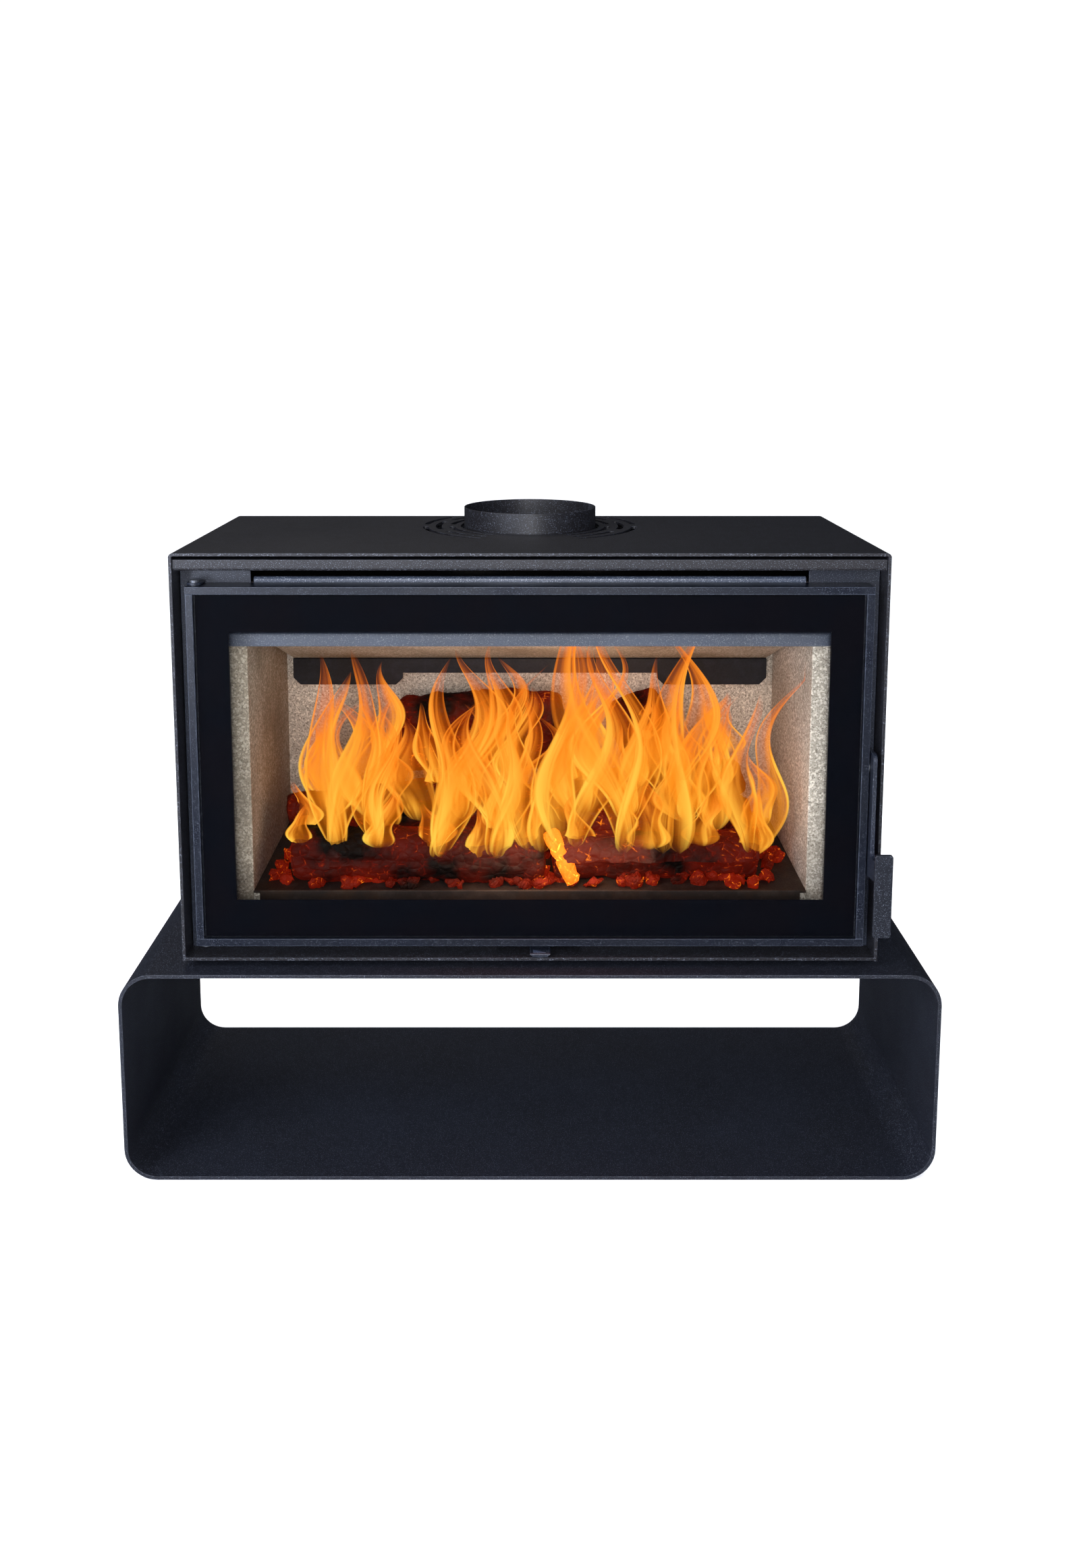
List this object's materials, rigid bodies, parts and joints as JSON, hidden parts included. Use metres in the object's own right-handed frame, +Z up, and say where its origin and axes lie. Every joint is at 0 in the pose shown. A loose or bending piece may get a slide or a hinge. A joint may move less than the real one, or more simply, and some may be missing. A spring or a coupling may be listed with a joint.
{
  "type": "wood burning stove",
  "caption": "Wide steel wood burning stove with a glass side-hung door, a top flue collar in a slotted grille, and an open rounded log-store stand.",
  "frame": {"origin": "on the floor, at the centre of the underside of the stand", "axes": "+X to the right as a person facing the door sees it, along the stove's longest side; +Y from the door to the back; +Z up, along the flue collar"},
  "size_m": [1.12, 0.4535, 0.9045],
  "materials": {
    "graphite_paint": "matt graphite heat-resistant stove paint with a fine metallic fleck",
    "door_paint": "satin slate heat-resistant paint",
    "firebox_steel": "mill steel with a thin matt coat, heat-darkened",
    "vermiculite": "pressed vermiculite board, matt and speckled",
    "ceramic_glass": "clear glass ceramic with a printed black border on its inner face",
    "seal_fibre": "knitted glass fibre rope and flat tape",
    "zinc_steel": "zinc-plated steel fasteners and pins"
  },
  "bodies": {
    "stove": {"stand_shell": "graphite_paint", "casing_shell": "graphite_paint", "casing_floor": "graphite_paint", "back_panel": "graphite_paint", "back_flanges": "graphite_paint", "spacer_feet": "graphite_paint", "top_heat_shield": "graphite_paint", "body_plate": "graphite_paint", "convection_bar": "graphite_paint", "flue_collar": "graphite_paint", "lower_hinge_bracket": "graphite_paint", "upper_hinge_bracket": "graphite_paint", "striker_bracket": "graphite_paint", "firebox_floor": "firebox_steel", "firebox_back": "firebox_steel", "firebox_left_side": "firebox_steel", "firebox_right_side": "firebox_steel", "firebox_top": "firebox_steel", "firebox_legs": "firebox_steel", "baffle_bracket": "firebox_steel", "baffle_rod": "firebox_steel", "air_wash_bar": "firebox_steel", "air_risers": "firebox_steel", "air_box": "firebox_steel", "slider_guides": "firebox_steel", "hearth_plate": "firebox_steel", "log_retainer": "firebox_steel", "left_liner": "vermiculite", "right_liner": "vermiculite", "back_liner": "vermiculite", "hearth_board": "vermiculite", "baffle_board": "vermiculite", "foot_bolts": "zinc_steel", "foot_nuts": "zinc_steel", "back_screws": "zinc_steel", "flue_bolts": "zinc_steel", "hinge_pins": "zinc_steel", "hinge_washers": "zinc_steel", "striker_pin": "zinc_steel"},
    "door": {"door_top_rail": "door_paint", "door_bottom_rail": "door_paint", "door_left_stile": "door_paint", "door_right_stile": "door_paint", "door_glass": "ceramic_glass", "glass_gasket": "seal_fibre", "door_backing": "door_paint", "rope_channel": "door_paint", "seal_rope": "seal_fibre", "pivot_pin": "zinc_steel", "pivot_washer": "zinc_steel"},
    "handle": {"handle_lever": "graphite_paint", "handle_grip": "graphite_paint"},
    "air_slider": {"air_slider": "graphite_paint"}
  },
  "joints": [
    {"name": "door_hinge", "type": "hinge", "parent": "stove", "child": "door", "pos_m": [-0.446, -0.162, 0.581], "axis": [0, 0, -1], "range_deg": [0, 105]},
    {"name": "handle_pivot", "type": "hinge", "parent": "door", "child": "handle", "pos_m": [0.46, -0.167, 0.581], "axis": [-1, 0, 0], "range_deg": [-4, 30]},
    {"name": "air_slide", "type": "slide", "parent": "stove", "child": "air_slider", "axis": [1, 0, 0], "range_m": [-0.04, 0.04]}
  ]
}
